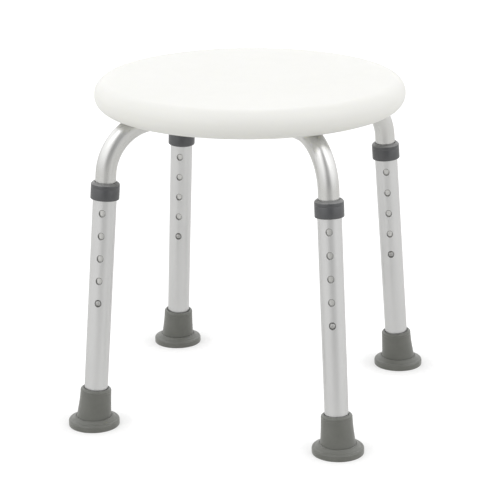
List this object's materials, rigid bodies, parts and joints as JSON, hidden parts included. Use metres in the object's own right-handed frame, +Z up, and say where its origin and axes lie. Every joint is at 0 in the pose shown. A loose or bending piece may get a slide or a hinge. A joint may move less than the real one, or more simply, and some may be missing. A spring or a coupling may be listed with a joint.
{
  "type": "shower stool",
  "caption": "Round plastic shower stool on two crossed bent tubes, with telescopic legs, snap buttons and wide rubber tips.",
  "frame": {"origin": "on the floor, midway between the four rubber feet, under the seat's centre", "axes": "+Z up through the seat's centre; -Y is the front, which the rows of adjustment holes face; +X to the right"},
  "size_m": [0.337, 0.337, 0.366],
  "materials": {
    "seat_plastic": "smooth satin, blow-moulded",
    "frame_aluminium": "satin anodised",
    "leg_aluminium": "matte anodised",
    "collar_plastic": "moulded satin",
    "tip_rubber": "matte rubber",
    "button_steel": "polished",
    "spring_steel": "rolled strip",
    "fastener_steel": "stainless",
    "insert_brass": "turned"
  },
  "bodies": {
    "stool": {"seat": "seat_plastic", "frame_tube_upper": "frame_aluminium", "frame_tube_lower": "frame_aluminium", "centre_bolt": "fastener_steel", "centre_washer": "fastener_steel", "centre_insert": "insert_brass", "seat_bolt_front_left": "fastener_steel", "seat_bolt_front_right": "fastener_steel", "seat_bolt_back_right": "fastener_steel", "seat_bolt_back_left": "fastener_steel", "saddle_washer_front_left": "fastener_steel", "saddle_washer_front_right": "fastener_steel", "saddle_washer_back_right": "fastener_steel", "saddle_washer_back_left": "fastener_steel", "seat_insert_front_left": "insert_brass", "seat_insert_front_right": "insert_brass", "seat_insert_back_right": "insert_brass", "seat_insert_back_left": "insert_brass", "button_spring_front_left": "spring_steel", "button_spring_front_right": "spring_steel", "button_spring_back_right": "spring_steel", "button_spring_back_left": "spring_steel"},
    "leg_front_left": {"leg_extension_front_left": "leg_aluminium", "collar_front_left": "collar_plastic", "foot_tip_front_left": "tip_rubber", "foot_washer_front_left": "fastener_steel"},
    "button_front_left": {"snap_button_front_left": "button_steel"},
    "leg_front_right": {"leg_extension_front_right": "leg_aluminium", "collar_front_right": "collar_plastic", "foot_tip_front_right": "tip_rubber", "foot_washer_front_right": "fastener_steel"},
    "button_front_right": {"snap_button_front_right": "button_steel"},
    "leg_back_right": {"leg_extension_back_right": "leg_aluminium", "collar_back_right": "collar_plastic", "foot_tip_back_right": "tip_rubber", "foot_washer_back_right": "fastener_steel"},
    "button_back_right": {"snap_button_back_right": "button_steel"},
    "leg_back_left": {"leg_extension_back_left": "leg_aluminium", "collar_back_left": "collar_plastic", "foot_tip_back_left": "tip_rubber", "foot_washer_back_left": "fastener_steel"},
    "button_back_left": {"snap_button_back_left": "button_steel"}
  },
  "joints": [
    {"name": "leg_slide_front_left", "type": "slide", "parent": "stool", "child": "leg_front_left", "axis": [-0.0567, -0.0567, -0.9968], "range_m": [0, 0.0992], "deforming": ["snap_button_front_left"]},
    {"name": "leg_slide_front_right", "type": "slide", "parent": "stool", "child": "leg_front_right", "axis": [0.0567, -0.0567, -0.9968], "range_m": [0, 0.0992], "deforming": ["snap_button_front_right"]},
    {"name": "leg_slide_back_right", "type": "slide", "parent": "stool", "child": "leg_back_right", "axis": [0.0567, 0.0567, -0.9968], "range_m": [0, 0.0992], "deforming": ["snap_button_back_right"]},
    {"name": "leg_slide_back_left", "type": "slide", "parent": "stool", "child": "leg_back_left", "axis": [-0.0567, 0.0567, -0.9968], "range_m": [0, 0.0992], "deforming": ["snap_button_back_left"]},
    {"name": "button_press_front_left", "type": "slide", "parent": "stool", "child": "button_front_left", "axis": [-0.1935, 0.9801, -0.0447], "range_m": [0, 0.003], "stiffness_N_per_m": 2500, "deforming": ["button_spring_front_left"]},
    {"name": "button_press_front_right", "type": "slide", "parent": "stool", "child": "button_front_right", "axis": [-0.1875, 0.98, -0.0664], "range_m": [0, 0.003], "stiffness_N_per_m": 2500, "deforming": ["button_spring_front_right"]},
    {"name": "button_press_back_right", "type": "slide", "parent": "stool", "child": "button_back_right", "axis": [-0.1935, 0.9801, 0.0447], "range_m": [0, 0.003], "stiffness_N_per_m": 2500, "deforming": ["button_spring_back_right"]},
    {"name": "button_press_back_left", "type": "slide", "parent": "stool", "child": "button_back_left", "axis": [-0.1875, 0.98, 0.0664], "range_m": [0, 0.003], "stiffness_N_per_m": 2500, "deforming": ["button_spring_back_left"]}
  ]
}
